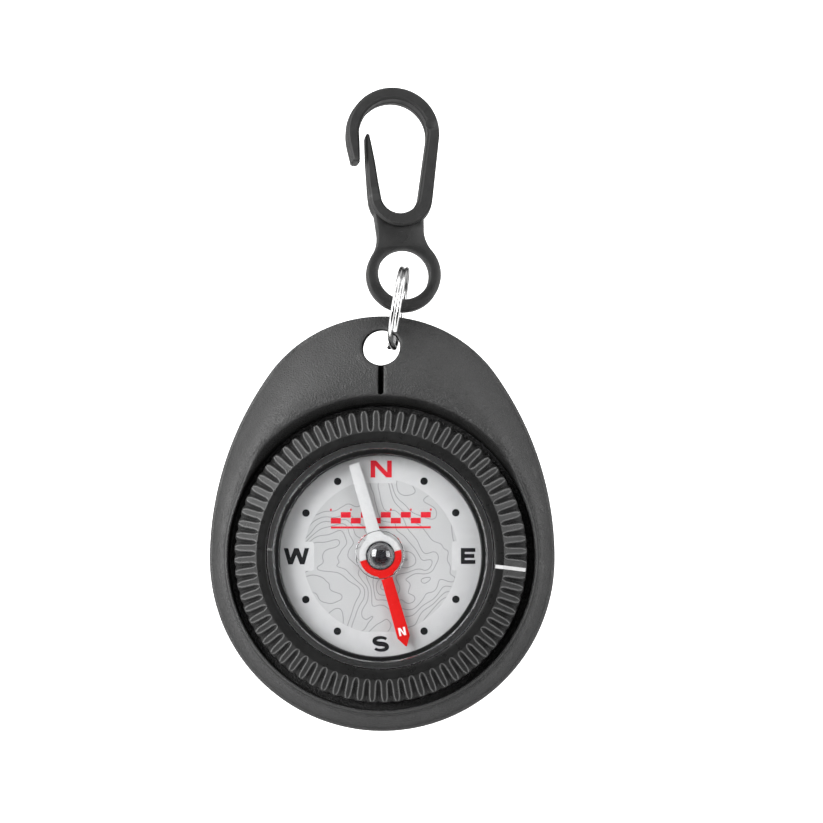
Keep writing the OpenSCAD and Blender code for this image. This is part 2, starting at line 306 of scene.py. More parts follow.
def height_lines(m, scale, levels, width, seed):
    """Ink mask of even-width contour lines on a smooth made-up relief."""
    step = 0.00004
    here, east, north = (
        m.calc("MULTIPLY", m.noise(scale, 2.2, 0.42, shifted(m, seed + dx, seed * 0.7 + dy), 0.35), levels)
        for dx, dy in ((0, 0), (step, 0), (0, step))
    )
    slope_x = m.calc("DIVIDE", m.calc("SUBTRACT", east, here), step)
    slope_y = m.calc("DIVIDE", m.calc("SUBTRACT", north, here), step)
    square = m.calc("ADD", m.calc("MULTIPLY", slope_x, slope_x), m.calc("MULTIPLY", slope_y, slope_y))
    slope = m.calc("MAXIMUM", m.calc("SQRT", square), 60.0)
    away = m.calc("DIVIDE", m.calc("PINGPONG", here, 0.5), slope)
    return m.spread(away, width * 0.35, width, 1.0, 0.0)


def map_paper():
    """Pale grey map print with contour lines."""
    m = Shades("map_print")
    ink = m.calc("MULTIPLY", height_lines(m, 95, 22, 0.00008, 0.037), 0.85)
    paper = m.mix(m.spread(m.noise(120, 2, 0.5), 0.3, 0.7, 0, 1), grey(0.435), grey(0.48))
    m.join(m.mix(ink, paper, grey(0.2)), m.shader.inputs["Base Color"])
    m.set(Roughness=0.55)
    m.normal(m.bump(m.noise(7000, 2, 0.5), 0.15, 0.00001))
    return m.material


def card_white():
    """White card. Traces of the map show faintly in patches near its rim."""
    m = Shades("dial_card")
    rim = m.spread(m.radius(), 0.0131, 0.0136, 0, 1)
    patch = m.spread(m.noise(330, 1, 0.5), 0.5, 0.6, 0, 1)
    lines = m.calc("MULTIPLY", height_lines(m, 210, 20, 0.00006, 0.081), m.calc("MULTIPLY", rim, patch))
    paper = m.mix(m.spread(m.noise(900, 2, 0.5), 0.3, 0.7, 0, 1), grey(0.535), grey(0.57))
    m.join(m.mix(m.calc("MULTIPLY", lines, 0.5), paper, grey(0.4)), m.shader.inputs["Base Color"])
    m.set(Roughness=0.55)
    m.normal(m.bump(m.noise(7000, 2, 0.5), 0.15, 0.00001))
    return m.material


def clear_plastic():
    """Acrylic window, satin on its flange. Lamps shine through it, so that the dial is lit."""
    m = Shades("lens_acrylic")
    m.set(Base_Color=(0.98, 0.985, 0.99, 1), Transmission_Weight=1.0, IOR=1.49)
    satin = m.spread(m.radius(), 0.01502, 0.01512, 0.0, 0.34)
    polish = m.spread(m.noise(700, 3, 0.6), 0.3, 0.8, 0.0, 0.03)
    m.join(m.calc("ADD", polish, satin), m.shader.inputs["Roughness"])
    clear = m.nodes.new("ShaderNodeBsdfTransparent")
    clear.inputs["Color"].default_value = (0.94, 0.945, 0.95, 1)
    path = m.nodes.new("ShaderNodeLightPath")
    mixed = m.nodes.new("ShaderNodeMixShader")
    m.join(path.outputs["Is Shadow Ray"], mixed.inputs["Fac"])
    m.join(m.shader.outputs["BSDF"], mixed.inputs[1])
    m.join(clear.outputs["BSDF"], mixed.inputs[2])
    m.join(mixed.outputs["Shader"], m.nodes["Material Output"].inputs["Surface"])
    return m.material


def steel(name, tone, rough):
    """Bright drawn wire: fine scratches and a few dull spots."""
    m = Shades(name)
    m.set(Metallic=1.0)
    spots = m.spread(m.noise(1500, 4, 0.6), 0.4, 0.7, 0, 1)
    m.join(m.mix(spots, grey(tone), grey(tone * 0.82)), m.shader.inputs["Base Color"])
    scratch = m.noise(1.0, 3, 0.6, m.stretched(9000, 1500, 1500))
    m.join(m.spread(scratch, 0.3, 0.7, rough - 0.07, rough + 0.09), m.shader.inputs["Roughness"])
    m.normal(m.bump(scratch, 0.12, 0.00001))
    return m.material


def gloss(name, tone, rough=0.06):
    """Polished and coated, with faint clouds in its colour and its polish."""
    m = Shades(name)
    m.set(IOR=2.1, Coat_Weight=1.0, Coat_Roughness=0.03)
    clouds = m.spread(m.noise(1200, 3, 0.5), 0.3, 0.7, 0, 1)
    m.join(m.mix(clouds, tone, tuple(1.25 * c for c in tone)), m.shader.inputs["Base Color"])
    polish = m.spread(m.noise(3000, 3, 0.6), 0.3, 0.8, rough - 0.02, rough + 0.05)
    m.join(polish, m.shader.inputs["Roughness"])
    m.normal(m.bump(m.noise(2500, 2, 0.5), 0.04, 0.00001))
    return m.material


# The sixth number is the edge gain: convex edges are painted lighter, a painted highlight that is strongest
# on the bezel's lips and on the hook.
BODY = moulded("body_abs", 0.027, 0.35, 4200, 0.00014, 1.7, 0.62, strength=1.0)
# Painted shade: a near-black, matt copy of the body's plastic, put on the hole's wall and the groove's floor
# to darken them as if in shade.
BORE_PAINTED_SHADE = moulded("bore_painted_shade", 0.004, 0.70, 5200, 0.00003, 1.2, 0.06)
COVER = moulded("cover_abs", 0.026, 0.5, 4200, 0.00003, 1.5)
BEZEL = moulded("bezel_abs", 0.012, 0.30, 6200, 0.00003, 11.0, 0.40, edge="lip")
CUP = moulded("cup_abs", 0.006, 0.42, 6500, 0.00001, 1.2, 0.3)
HOOK = moulded("hook_acetal", 0.012, 0.38, 5600, 0.00005, 4.0, 0.42)
CARD = card_white()
MAP = map_paper()
BLACK_INK = printed("ink_black", (0.006, 0.006, 0.007), (0.012, 0.012, 0.013))
RED_INK = printed("ink_red", (0.56, 0.012, 0.025), (0.64, 0.018, 0.03))
WHITE_INK = printed("ink_white", grey(0.66), grey(0.74))
NEEDLE_WHITE = printed("needle_white", grey(0.53), grey(0.58), 0.4)
NEEDLE_RED = printed("needle_red", (0.56, 0.005, 0.004), (0.61, 0.007, 0.006), 0.45)
LENS = clear_plastic()
DOME = gloss("hub_gloss", (0.012, 0.012, 0.014))
JEWEL = gloss("jewel_ruby", (0.22, 0.02, 0.04))
RING_STEEL = steel("ring_nickel", 0.86, 0.16)
PIN_STEEL = steel("pin_steel", 0.6, 0.25)


# ---------------------------------------------------------------- mesh helpers, in millimetres

def mesh_of(points, faces, name="work"):
    mesh = bpy.data.meshes.new(name)
    mesh.from_pydata([tuple(p) for p in points], [], faces)
    return tidy(mesh)


def tidy(mesh):
    """Joins points that lie on each other and turns every face outwards."""
    b = bmesh.new()
    b.from_mesh(mesh)
    bmesh.ops.remove_doubles(b, verts=b.verts, dist=1e-5)
    bmesh.ops.dissolve_degenerate(b, edges=b.edges, dist=1e-6)
    bmesh.ops.recalc_face_normals(b, faces=b.faces)
    b.to_mesh(mesh)
    b.free()
    return mesh


def rows_to_faces(count, n, closed_across=True, closed_along=False):
    """Quads between count rows of n points each."""
    faces = []
    for k in range(count if closed_along else count - 1):
        row, following = k * n, ((k + 1) % count) * n
        for i in range(n if closed_across else n - 1):
            j = (i + 1) % n
            faces.append((row + i, row + j, following + j, following + i))
    return faces


def turned(r, a, z):
    return (r * math.sin(math.radians(a)), r * math.cos(math.radians(a)), z)


def revolved(profile, n=192, loop=False):
    """Profile of (radius, height) turned round the dial's axis."""
    points = [turned(r, 360 * i / n, z) for r, z in profile for i in range(n)]
    return mesh_of(points, rows_to_faces(len(profile), n, True, loop))


def rounded(corners, closed=False, steps=5):
    """A polyline of (x, y, radius) with its corners rounded."""
    out = []
    last = len(corners) - 1
    for i, (x, y, r) in enumerate(corners):
        if r <= 0 or (not closed and i in (0, last)):
            out.append((x, y))
            continue
        here = Vector((x, y))
        before = Vector(corners[i - 1][:2]) - here
        after = Vector(corners[(i + 1) % len(corners)][:2]) - here
        u, v = before.normalized(), after.normalized()
        half = u.angle(v) / 2
        reach = min(r / math.tan(half), 0.48 * before.length, 0.48 * after.length)
        radius = reach * math.tan(half)
        centre = here + (u + v).normalized() * (radius / math.sin(half))
        start, end = here + u * reach - centre, here + v * reach - centre
        a0 = math.atan2(start.y, start.x)
        sweep = (math.atan2(end.y, end.x) - a0 + math.pi) % (2 * math.pi) - math.pi
        for k in range(steps + 1):
            a = a0 + sweep * k / steps
            out.append((centre.x + radius * math.cos(a), centre.y + radius * math.sin(a)))
    return out


def arc(cx, cy, r, a0, a1, steps):
    """Points on a circle, angles in degrees anticlockwise from +X."""
    return [
        (cx + r * math.cos(math.radians(a0 + (a1 - a0) * k / steps)),
         cy + r * math.sin(math.radians(a0 + (a1 - a0) * k / steps)))
        for k in range(steps + 1)
    ]


def circle(x, y, r, n):
    return arc(x, y, r, 0, 360, n)[:-1]


def plate(loops, z0, z1, edge, steps=2):
    """A flat piece between two heights, its outline and holes with rounded edges."""
    curve = bpy.data.curves.new("outline", "CURVE")
    curve.dimensions = "2D"
    curve.fill_mode = "BOTH"
    curve.extrude = (z1 - z0) / 2 - edge
    curve.bevel_depth = edge
    curve.bevel_resolution = steps
    curve.offset = -edge
    for loop in loops:
        spline = curve.splines.new("POLY")
        spline.points.add(len(loop) - 1)
        spline.points.foreach_set("co", [c for x, y in loop for c in (x, y, 0, 1)])
        spline.use_cyclic_u = True
    obj = bpy.data.objects.new("outline", curve)
    bpy.context.scene.collection.objects.link(obj)
    bpy.context.view_layer.update()
    shaped = obj.evaluated_get(bpy.context.evaluated_depsgraph_get())
    mesh = bpy.data.meshes.new_from_object(shaped)
    bpy.data.objects.remove(obj)
    bpy.data.curves.remove(curve)
    mesh.materials.clear()
    mesh.transform(Matrix.Translation((0, 0, (z0 + z1) / 2)))
    return tidy(mesh)


def sleeve(loops):
    """A closed solid through loops of points, all of one length, with flat ends."""
    n = len(loops[0])
    points = [p for loop in loops for p in loop]
    ends = [tuple(range(n))[::-1], tuple(range((len(loops) - 1) * n, len(loops) * n))]
    return mesh_of(points, [*rows_to_faces(len(loops), n), *ends])


def cut(mesh, cutters):
    """mesh less each cutter."""
    body = bpy.data.objects.new("body_to_cut", mesh)
    bpy.context.scene.collection.objects.link(body)
    helpers = []
    for cutter in cutters:
        helper = bpy.data.objects.new("cutter", cutter)
        bpy.context.scene.collection.objects.link(helper)
        helpers.append(helper)
        step = body.modifiers.new("cut", "BOOLEAN")
        step.operation = "DIFFERENCE"
        step.solver = "EXACT"
        step.object = helper
    bpy.context.view_layer.update()
    shaped = body.evaluated_get(bpy.context.evaluated_depsgraph_get())
    result = bpy.data.meshes.new_from_object(shaped)
    for obj in [body, *helpers]:
        bpy.data.objects.remove(obj)
    result.materials.clear()
    return result


def place(name, mesh, body, slot, material, replaced=(), turn=None, sharp=32, ride=True):
    """Makes a shown piece of a millimetre mesh and lets it move with a CAD body."""
    mesh.transform(Matrix.Scale(MM, 4) @ (turn or Matrix.Identity(4)))
    mesh.name = name
    mesh.materials.append(material)
    mesh.shade_smooth()
    mesh.set_sharp_from_angle(angle=math.radians(sharp))
    obj = bpy.data.objects.new(name, mesh)
    bpy.context.scene.collection.objects.link(obj)
    if ride:
        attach(obj, body)
    if replaced:
        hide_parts(*replaced)
    return obj


def limited(t):
    return min(1.0, max(0.0, t))


def eased(t):
    t = limited(t)
    return t * t * (3 - 2 * t)


def between(a, b, t):
    return a + (b - a) * t


# ---------------------------------------------------------------- body

BODY_R, SIDE_R, TIP_R = 24.5, 45.1, 19.85
SIDE_X = SIDE_R - BODY_R
TIP_Y = math.sqrt((SIDE_R - TIP_R) ** 2 - SIDE_X ** 2)
EDGE_H, FLANK_H, SHOULDER_H = 2.9, 5.3, 8.0
FLANK_INSET = 0.4
HOLE_Y, HOLE_R = 29.7, 2.65
WEB_UNDER = 1.8
AROUND = 288


def outline(a, inset=0.0):
    """Distance from the dial's axis to the body's outline, set in by inset."""
    b = abs((a + 180) % 360 - 180)
    r = TIP_R - inset
    gap = SIDE_R - TIP_R
    join = math.degrees(math.atan2(r * SIDE_X / gap, TIP_Y + r * TIP_Y / gap))
    c, s = math.cos(math.radians(b)), math.sin(math.radians(b))
    if b < join:
        return TIP_Y * c + math.sqrt(r ** 2 - (TIP_Y * s) ** 2)
    if b < 90:
        return math.sqrt((SIDE_R - inset) ** 2 - (SIDE_X * c) ** 2) - SIDE_X * s
    return BODY_R - inset


def shoulder(a):
    return eased((68 - abs((a + 180) % 360 - 180)) / 24)


def flank_height(a, r):
    """Height of the crowned flank at angle a, radius r."""
    edge, rim = outline(a, FLANK_INSET), 22 + 0.9 * shoulder(a)
    top = between(FLANK_H, SHOULDER_H, shoulder(a))
    t = limited((edge - r) / (edge - rim))
    return EDGE_H + (top - EDGE_H) * (1 - (1 - t) ** 2)


def surface_height(x, y):
    return flank_height(math.degrees(math.atan2(x, y)), math.hypot(x, y))


def underside(y):
    return WEB_UNDER * eased((y - 24.3) / 4.0)


# Rim of the recess, as radius and height: a bead low beside the bezel, and a ramp up on the shoulder
BEAD = [(21.6, 5.55), (21.61, 5.78), (21.66, 5.91), (21.76, 5.98), (21.88, 5.99), (22.0, 5.94),
        (22.09, 5.84), (22.16, 5.66), (22.2, 5.46), (22.24, 5.28), (22.3, 5.2), (22.4, 5.17)]
RAMP = [(21.6, 6.2), (21.78, 6.5), (22.0, 6.86), (22.22, 7.22), (22.42, 7.54), (22.56, 7.76),
        (22.66, 7.88), (22.78, 7.96), (22.92, 7.99), (23.08, 7.995), (23.24, 7.99), (23.4, 7.98)]
# Side wall and its rounded edges, as inset from the outline and height
EDGE = [(0.24, 2.84), (0.13, 2.74), (0.05, 2.6), (0.01, 2.45), (0.0, 2.25), (0.0, 1.7), (0.0, 1.1),
        (0.0, 0.5), (0.03, 0.3), (0.1, 0.15), (0.22, 0.05), (0.4, 0.0)]
FLANK_ROWS = 26
UNDER_ROWS = 12
# Capsule seat, collar with its snap bead, and recess; then the cover's pocket
COLLAR = [(0, 5.0, 0), (14.95, 5.0, 0), (14.95, 8.9, 0.08), (15.95, 8.9, 0.1), (15.95, 6.6, 0.05),
          (16.35, 6.42, 0.05), (16.35, 6.15, 0.05), (15.95, 6.0, 0.05), (15.95, 3.0, 0.1), (21.6, 3.0, 0.15)]
POCKET = [(22.05, 0.12), (22.05, 1.4), (13.5, 1.4), (13.5, 3.4), (0, 3.4)]


def body_section(a):
    """(radius, height) from the capsule seat, over the rim and flank, into the cover's pocket."""
    s = shoulder(a)
    rows = list(rounded([*COLLAR, (21.6, 5.5, 0)], steps=3)[:-1])
    rim = [(between(b[0], c[0], s), between(b[1], c[1], s)) for b, c in zip(BEAD, RAMP)]
    rows += rim
    r0, h0 = rim[-1]
    edge_r = outline(a, FLANK_INSET)
    drop = h0 - flank_height(a, r0)
    for k in range(1, FLANK_ROWS + 1):
        t = k / FLANK_ROWS
        r = between(r0, edge_r, t)
        rows.append((r, flank_height(a, r) + drop * (1 - t) ** 4))
    c = math.cos(math.radians(a))
    for inset, h in EDGE:
        r = outline(a, inset)
        foot = underside(r * c)
        rows.append((r, foot + h * (EDGE_H - foot) / EDGE_H))
    inner = POCKET[0][0] + 0.1
    foot_r = outline(a, EDGE[-1][0])
    for k in range(1, UNDER_ROWS + 1):
        r = between(foot_r, inner, k / UNDER_ROWS)
        rows.append((r, underside(r * c)))
    return rows + POCKET


def body_skin():
    sections = [body_section(360 * i / AROUND) for i in range(AROUND)]
    count = len(sections[0])
    points = [turned(sections[i][k][0], 360 * i / AROUND, sections[i][k][1])
              for k in range(count) for i in range(AROUND)]
    return mesh_of(points, rows_to_faces(count, AROUND))


def follow(loop_at, levels, farthest=40.0):
    """Cutter whose outline changes with depth below the flank. loop_at(grow) gives the outline, and
    each level is (grow, height above the flank or None, fixed height). Past farthest it stays level."""
    loops = []
    for grow, above, fixed in levels:
        loops.append([(x, y, fixed if above is None else surface_height(x, min(y, farthest)) + above)
                      for x, y in loop_at(grow)])
    return sleeve(loops)


def hole_cutter():
    """Lanyard hole: flared below the web and rounded where it meets the flank."""
    flare, flare_h = 1.15, 0.9
    levels = [(flare, None, -1), (flare, None, WEB_UNDER), (0, None, WEB_UNDER + flare_h), (0, -0.5, 0),
              (0.03, -0.32, 0), (0.11, -0.17, 0), (0.24, -0.06, 0), (0.42, -0.01, 0), (0.6, 0.04, 0),
              (0.7, 0.6, 0)]
    return follow(lambda grow: circle(0, HOLE_Y, HOLE_R + grow, 96), levels)


def groove_cutter():
    """Sighting groove between the bezel's recess and the lanyard hole."""
    start, end, half = 23.15, 28.4, 0.34

    def slot(grow):
        return [*arc(0, start, half + grow, 180, 360, 16), *arc(0, end, half + grow, 0, 180, 16)]

    levels = [(0, None, 6.5), (0, -0.34, 0), (0.05, -0.18, 0), (0.13, -0.07, 0), (0.24, 0.0, 0),
              (0.34, 0.06, 0), (0.36, 1.5, 0)]
    return follow(slot, levels, farthest=27.6)


def pocket_cutter(side):
    """Hollow under the tongue on one side, between its wall and the boss round the lanyard hole."""
    boss, low, wall = 4.6, 28.6, 2.4
    rim = []
    for k in range(8, 50):
        r = outline(k, wall)
        x, y, _ = turned(r, k, 0)
        if y >= low and math.hypot(x, y - HOLE_Y) >= boss:
            rim.append((x, y))
    first, last = rim[0], rim[-1]
    corner = (last[0] + 0.2, low)
    a0 = math.degrees(math.atan2(low - HOLE_Y, math.sqrt(boss ** 2 - (low - HOLE_Y) ** 2)))
    a1 = math.degrees(math.atan2(first[1] - HOLE_Y, first[0]))
    loop = [*rim, corner, *arc(0, HOLE_Y, boss, a0, a1, 14)[:-1]]
    return sleeve([[(side * x, y, z) for x, y in loop] for z in (-1, 3.6)])


def paint_shade_in_bore(obj):
    """Paints shade on the steep wall of the lanyard hole and on the floor of the groove: both get a
    near-black, matt, low-sheen copy of the body's plastic that stands for the shade inside them.
    """
    obj.data.materials.append(BORE_PAINTED_SHADE)
    for face in obj.data.polygons:
        x, y, z = (c / MM for c in face.center)
        in_bore = math.hypot(x, y - HOLE_Y) < HOLE_R + 1.3 and abs(face.normal.z) < 0.6
        in_groove = abs(x) < 0.36 and 22.9 < y < HOLE_Y and z < surface_height(x, y) - 0.2 and z > 6
        if in_bore or in_groove:
            face.material_index = 1


body_mesh = cut(body_skin(), [hole_cutter(), groove_cutter(), pocket_cutter(1), pocket_cutter(-1)])
# Painted shade goes onto the hole's wall and the groove's floor here.
paint_shade_in_bore(place("body_skin", body_mesh, "base", "body_plastic", BODY, ["base_shell"], sharp=40))


# ---------------------------------------------------------------- back cover

def cover_skin():
    """Moulded disc: a raised rim, two fine rings and a shallow dish on its outer face."""
    outer = [(0, 0.25, 0), (8.0, 0.25, 0.1), (8.3, 0.12, 0.1), (15.6, 0.12, 0.05), (15.8, 0.3, 0.05),
             (16.3, 0.3, 0.05), (16.5, 0.12, 0.05), (19.6, 0.12, 0.1), (19.9, 0.0, 0.1), (21.6, 0.0, 0.12),
             (22.0, 0.35, 0.12), (22.0, 1.4, 0.05), (13.4, 1.4, 0.05), (13.4, 2.4, 0.1), (12.6, 2.4, 0.1),
             (12.6, 1.4, 0.05), (0, 1.4, 0)]
    return revolved(rounded(outer, steps=3), 144)


place("cover_skin", cover_skin(), "base", "cover_plastic", COVER, ["back_cover"])


# ---------------------------------------------------------------- bezel

STEPS = 72
PER_STEP = 24
INDEX_ANGLE = 95.75
FLAT_R, RIM_R, TOP_H, RIM_H = 17.4, 20.6, 9.5, 7.95
GROOVE_START = 17.45
GROOVE_DEPTH = 0.56
GROOVE_SLOPE = 1.15
LIP_REACH, LIP_RISE = 0.11, 0.045


def groove_place(a):
    """Degrees from the middle of the nearest groove, and degrees from the index line."""
    step = 360 / STEPS
    from_index = (a - INDEX_ANGLE + 180) % 360 - 180
    return (from_index + step / 2) % step - step / 2, abs(from_index)


def bezel_levels(a, r):
    """(height of the plain ring, height of the groove's floor) at angle a, radius r."""
    flank = TOP_H - max(0.0, r - FLAT_R) * (TOP_H - RIM_H) / (20.4 - FLAT_R)
    bend = 0.12
    if abs(r - FLAT_R) < bend:
        flank = TOP_H - (r - FLAT_R + bend) ** 2 / (4 * bend) * (TOP_H - RIM_H) / (20.4 - FLAT_R)
    off, from_index = groove_place(a)
    flank += 0.1 * eased((r - 18.6) / 1.4) * eased((4.4 - from_index) / 1.2)
    if from_index < 2.5 or r <= GROOVE_START:
        return flank, flank + 1
    start = limited((r - GROOVE_START) / 0.8)
    along = limited((r - GROOVE_START) / (RIM_R - GROOVE_START))
    depth = GROOVE_DEPTH * between(0.66, 1.0, along) * math.sqrt(1 - (1 - start) ** 2)
    depth += 0.32 * limited((r - 19.7) / 0.9) ** 2
    across = abs(math.radians(off) * r)
    return flank, flank - depth + GROOVE_SLOPE * (math.sqrt(across ** 2 + 0.04 ** 2) - 0.04)


def lip_share(a, r):
    """1 on the raised lip of a groove, 0 away from it."""
    flank, floor = bezel_levels(a, r)
    return math.exp(-((flank - floor) / LIP_REACH) ** 2)


def bezel_height(a, r):
    """The lower of the two levels, with a soft change from one to the other and a raised lip."""
    flank, floor = bezel_levels(a, r)
    soft = 0.02
    lower = (flank + floor - math.sqrt((flank - floor) ** 2 + soft ** 2)) / 2
    return lower + LIP_RISE * lip_share(a, r)


def mark_lips(obj):
    """Stores each point's share of lip, for the painted highlight that the bezel's material puts along the
    groove lips.
    """
    share = obj.data.attributes.new("lip", "FLOAT", "POINT")
    values = []
    for point in obj.data.vertices:
        x, y, z = (c / MM for c in point.co)
        r = math.hypot(x, y)
        on_top = z > 6.9 and 17.3 < r < 20.5
        values.append(lip_share(math.degrees(math.atan2(x, y)), r) if on_top else 0.0)
    share.data.foreach_set("value", values)


def bezel_section(a):
    rows = [(16.0, 9.1), (16.0, 9.36), (16.04, 9.45), (16.14, 9.5), (16.6, 9.5), (17.1, 9.5)]
    for k in range(33):
        r = 17.28 + (20.42 - 17.28) * (k / 32) ** 1.4
        rows.append((r, bezel_height(a, r)))
    top = bezel_height(a, 20.45)
    off, from_index = groove_place(a)
    notch = 0.0 if from_index < 2.5 else 0.1 * limited(1 - abs(math.radians(off) * RIM_R) / 0.5)
    for inward, down in ((0.08, 0.05), (0.02, 0.13), (0.0, 0.25)):
        rows.append((RIM_R - inward - notch, top - down))
    for k in range(1, 9):
        t = k / 8
        rows.append((RIM_R - notch * (1 - eased(t * 1.6)), between(top - 0.25, 3.35, t)))
    rows += [(20.54, 3.21), (20.4, 3.15), (19.2, 3.15), (19.2, 6.2), (17.2, 7.2), (17.2, 3.15), (16.2, 3.15),
             (16.0, 3.35), (16.0, 5.8), (16.5, 5.8), (16.5, 6.8), (16.0, 6.8)]
    return rows


def bezel_skin():
    n = STEPS * PER_STEP
    sections = [bezel_section(INDEX_ANGLE + 360 * i / n) for i in range(n)]
    count = len(sections[0])
    points = [turned(sections[i][k][0], INDEX_ANGLE + 360 * i / n, sections[i][k][1])
              for k in range(count) for i in range(n)]
    return mesh_of(points, rows_to_faces(count, n, True, True))


def index_line():
    """White filled line across the bezel's top and down its flank."""
    half, proud, deep = 0.26, 0.018, 0.06
    rows = []
    for k in range(25):
        r = between(16.25, 20.5, k / 24)
        h = bezel_height(INDEX_ANGLE, r)
        across = math.degrees(half / r)
        corners = ((-1, -deep), (-0.96, proud), (0.96, proud), (1, -deep))
        rows.append([turned(r, INDEX_ANGLE + across * side, h + rise) for side, rise in corners])
    return sleeve(rows)


# The lips marked here are painted light by the bezel's material: a painted highlight.
mark_lips(place("bezel_skin", bezel_skin(), "bezel", "bezel_plastic", BEZEL, ["bezel_ring"], sharp=50))
place("bezel_index", index_line(), "bezel", "bezel_plastic", WHITE_INK)


# ---------------------------------------------------------------- capsule and dial

DIAL_H = 6.4
INK = 0.012


def lens_skin():
    profile = [(0, 9.1, 0), (14.05, 9.1, 0), (14.25, 9.1, 0.05), (14.25, 8.9, 0.03), (15.9, 8.9, 0.05),
               (15.9, 9.55, 0.14), (15.05, 9.55, 0.06), (14.95, 10.3, 0.3), (14.5, 10.3, 0), (3.6, 10.3, 0),
               (3.48, 10.3, 0), (3.4, 10.08, 0), (3.32, 10.3, 0), (3.2, 10.3, 0), (0, 10.3, 0)]
    return revolved(rounded(profile, steps=5), 256)


def cup_skin():
    profile = [(0.8, 5.0, 0), (14.9, 5.0, 0.1), (14.9, 8.9, 0.08), (14.3, 8.9, 0.08), (14.3, 6.0, 0),
               (0.8, 6.0, 0)]
    return revolved(rounded(profile, True, 4), 192, True)


def card_skin():
    profile = [(0.9, 6.0, 0), (14.25, 6.0, 0), (14.25, DIAL_H, 0.06), (0.9, DIAL_H, 0.04)]
    return revolved(rounded(profile, True, 3), 192, True)


def map_outline():
    """Disc with a notch for each letter: direction, half width and inner edge of each."""
    map_r = 10.9
    notches = [(0, 2.2, 10.3), (90, 2.05, 10.0), (180, 2.3, 10.65), (270, 2.05, 9.4)]
    corner = 0.45
    loop = []
    for i, (a, half, inner) in enumerate(notches):
        reach = math.sqrt(map_r ** 2 - half ** 2)
        c, s = math.cos(math.radians(a)), math.sin(math.radians(a))
        notch = [(-half, reach, 0), (-half, inner, corner), (half, inner, corner), (half, reach, 0)]
        loop += [(x * c + y * s, -x * s + y * c) for x, y in rounded(notch, steps=6)]
        side = math.degrees(math.asin(half / map_r))
        following = notches[(i + 1) % 4]
        start = a + side
        end = a + 90 - math.degrees(math.asin(following[1] / map_r))
        loop += [turned(map_r, start + (end - start) * k / 24, 0)[:2] for k in range(1, 24)]
    return loop


def letter_n(w, h, t):
    return [(0, 0), (t, 0), (t, h * 0.68), (w - t * 1.2, 0), (w, 0), (w, h), (w - t, h), (w - t, h * 0.32),
            (t * 1.2, h), (0, h)]


def letter_e(w, h, t):
    low, high, bar = (h - t) / 2, (h + t) / 2, w * 0.93
    return [(0, 0), (w, 0), (w, t), (t, t), (t, low), (bar, low), (bar, high), (t, high), (t, h - t),
            (w, h - t), (w, h), (0, h)]


def letter_w(w, h, t):
    foot_l, foot_r, middle, s = 0.27 * w, 0.73 * w, 0.5 * w, 0.56 * t
    return [(0, h), (foot_l - s, 0), (foot_l + s, 0), (middle, h - 1.75 * t), (foot_r - s, 0),
            (foot_r + s, 0), (w, h), (w - 1.15 * t, h), (foot_r, 1.7 * t), (middle + s, h), (middle - s, h),
            (foot_l, 1.7 * t), (1.15 * t, h)]


def letter_s(w, h, t):
    """Two bowls joined in the middle; the stroke is fuller through the middle."""
    rx, ry = (w - t) / 2, (h - t) / 4
    line = [(w / 2 + x * rx, h - t / 2 - ry + y * ry) for x, y in arc(0, 0, 1, 28, 262, 18)]
    line += [(w / 2 + x * rx, t / 2 + ry + y * ry) for x, y in arc(0, 0, 1, 82, -152, 18)]
    left, right = [], []
    last = len(line) - 1
    for i, (x, y) in enumerate(line):
        x0, y0 = line[max(0, i - 1)]
        x1, y1 = line[min(last, i + 1)]
        size = math.hypot(x1 - x0, y1 - y0)
        full = between(0.78, 1.3, math.sin(math.pi * i / last) ** 2)
        nx, ny = -(y1 - y0) / size * t / 2 * full, (x1 - x0) / size * t / 2 * full
        left.append((x + nx, y + ny))
        right.append((x - nx, y - ny))
    return left + right[::-1]


def centred(loop, x, y, turn=0.0):
    """loop with the middle of its box at (x, y), turned clockwise by turn degrees."""
    xs, ys = [p[0] for p in loop], [p[1] for p in loop]
    mx, my = (min(xs) + max(xs)) / 2, (min(ys) + max(ys)) / 2
    c, s = math.cos(math.radians(turn)), math.sin(math.radians(turn))
    return [(x + (px - mx) * c + (py - my) * s, y - (px - mx) * s + (py - my) * c) for px, py in loop]


def dial_letters():
    stroke = 0.56
    return [
        ("dial_north", letter_n(3.0, 2.4, 0.66), 0.05, 12.3, RED_INK),
        ("dial_east", letter_e(2.05, 2.25, stroke), 12.3, 0.0, BLACK_INK),
        ("dial_south", letter_s(2.3, 2.3, stroke * 0.92), 0.0, -12.35, BLACK_INK),
        ("dial_west", letter_w(3.6, 2.3, stroke), -11.9, 0.0, BLACK_INK),
    ]


def scale_bar():
    """A plain red map scale: two rows of blocks turn about, with end ticks and a base line."""
    left, width, count, low, row = -7.05, 14.1, 10, 4.6, 0.8
    step = width / count
    loops = [[(left, 3.9), (left + width, 3.9), (left + width, 4.2), (left, 4.2)]]
    for k in range(count):
        y = low + (row + 0.02) * (k % 2)
        x = left + k * step
        loops.append([(x, y), (x + step, y), (x + step, y + row), (x, y + row)])
    for k in range(0, count + 1, 2):
        x = left + k * step
        half, foot, head = 0.12, 6.4, 6.7
        loops.append([(x - half, foot), (x + half, foot), (x + half, head), (x - half, head)])
    return loops


def print_on_dial(name, loops, ink, layers, edge):
    """A printed shape that stands layers of ink above the card and sinks a little into it."""
    mesh = plate(loops, DIAL_H - 0.01, DIAL_H + layers * INK, edge, 0)
    place(name, mesh, "base", "dial_print", ink)


